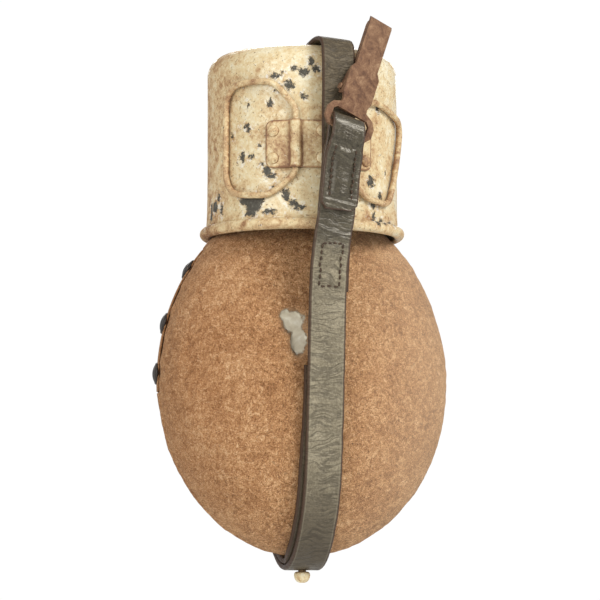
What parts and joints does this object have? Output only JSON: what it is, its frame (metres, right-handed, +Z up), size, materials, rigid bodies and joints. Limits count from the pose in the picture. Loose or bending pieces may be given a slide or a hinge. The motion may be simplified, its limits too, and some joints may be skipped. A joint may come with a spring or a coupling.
{
  "type": "field canteen with cup",
  "caption": "Felt-covered egg-shaped metal drinking flask with an inverted cup strapped over its neck, folding wire cup handles and a snap hook for a belt.",
  "frame": {"origin": "centre of the flat foot of the stud under the canteen, its lowest point, on the flask's vertical axis", "axes": "+Z up from the stud to the cup; -Y the side of the carrying hook and the cup's handle bracket; +Y the buckle side; -X the edge with the cover's snaps"},
  "size_m": [0.1381, 0.1213, 0.2522],
  "materials": {
    "felt": "matted brown wool felt",
    "cream_paint": "aged cream paint, chipped and rust-stained",
    "painted_steel": "aged cream paint over steel",
    "aluminium": "dull bare aluminium",
    "strap_leather": "black leather worn brown at its edges",
    "inner_leather": "dark dull leather",
    "rusty_steel": "evenly rusted steel",
    "black_lacquer": "worn black lacquer",
    "rubber": "red-brown rubber"
  },
  "bodies": {
    "flask": {"flask": "aluminium", "felt_back_panel": "felt", "felt_front_panel": "felt", "snap_stud_1": "black_lacquer", "snap_stud_2": "black_lacquer", "snap_stud_3": "black_lacquer", "bottom_stud": "painted_steel", "stud_washer": "aluminium", "base_patch": "inner_leather", "carrying_strap": "strap_leather", "closing_strap": "inner_leather", "strap_keeper": "strap_leather"},
    "cup": {"cup_body": "cream_paint", "handle_bracket": "painted_steel", "bracket_rivet_1": "cream_paint", "bracket_rivet_2": "cream_paint", "bracket_rivet_3": "cream_paint", "bracket_rivet_4": "cream_paint", "bracket_rivet_5": "cream_paint", "bracket_rivet_6": "cream_paint"},
    "left_handle": {"handle_left": "painted_steel"},
    "right_handle": {"handle_right": "painted_steel"},
    "cap_seal": {"cap_gasket": "rubber"},
    "cap": {"screw_cap": "aluminium", "cap_bridge": "aluminium"},
    "loop": {"hook_loop": "strap_leather"},
    "hook": {"hook_body": "rusty_steel", "gate_pin": "rusty_steel", "gate_spring": "rusty_steel"},
    "gate": {"hook_gate": "rusty_steel"},
    "buckle": {"buckle_frame": "rusty_steel"},
    "prong": {"buckle_prong": "rusty_steel"},
    "flap": {"cover_flap": "felt", "snap_cap_1": "black_lacquer", "snap_cap_2": "black_lacquer", "snap_cap_3": "black_lacquer"}
  },
  "joints": [
    {"name": "cup_lift", "type": "slide", "parent": "flask", "child": "cup", "axis": [0, 0, 1], "range_m": [0, 0.1], "deforming": ["closing_strap"]},
    {"name": "handle_left_swing", "type": "hinge", "parent": "cup", "child": "left_handle", "pos_m": [-0.0148, -0.0425, 0.195], "axis": [0, 0, 1], "range_deg": [0, 95]},
    {"name": "handle_right_swing", "type": "hinge", "parent": "cup", "child": "right_handle", "pos_m": [0.00843, -0.0442, 0.195], "axis": [0, 0, -1], "range_deg": [0, 32]},
    {"name": "cap_rise", "type": "slide", "parent": "flask", "child": "cap_seal", "axis": [0, 0, 1], "range_m": [0, 0.005]},
    {"name": "cap_turn", "type": "hinge", "parent": "cap_seal", "child": "cap", "pos_m": [0, 0, 0.185], "axis": [0, 0, 1], "range_deg": [0, 720]},
    {"name": "loop_flex", "type": "hinge", "parent": "flask", "child": "loop", "pos_m": [0.0032, -0.0537, 0.1601], "axis": [1, 0, 0], "range_deg": [0, 60], "stiffness_Nm_per_rad": 0.05},
    {"name": "hook_turn", "type": "hinge", "parent": "loop", "child": "hook", "pos_m": [0.00714, -0.05912, 0.19823], "axis": [0.8943, 0.2178, -0.3909], "range_deg": [0, 110]},
    {"name": "gate_open", "type": "hinge", "parent": "hook", "child": "gate", "pos_m": [0.01318, -0.05243, 0.21576], "axis": [0.8943, 0.2178, -0.3909], "range_deg": [0, 6], "stiffness_Nm_per_rad": 0.05},
    {"name": "buckle_tilt", "type": "hinge", "parent": "flask", "child": "buckle", "pos_m": [0, 0.0474, 0.1295], "axis": [-1, 0, 0], "range_deg": [0, 35]},
    {"name": "prong_swing", "type": "hinge", "parent": "buckle", "child": "prong", "pos_m": [0, 0.0474, 0.1295], "axis": [-1, 0, 0], "range_deg": [0, 55]},
    {"name": "flap_open", "type": "hinge", "parent": "flask", "child": "flap", "pos_m": [-0.06251, 0.016, 0.0855], "axis": [-0.3212, 0, -0.947], "range_deg": [0, 25]}
  ],
  "couplings": [
    {"joint": "cap_turn", "follows": "cap_rise", "rad_per_m": 2513.2}
  ]
}
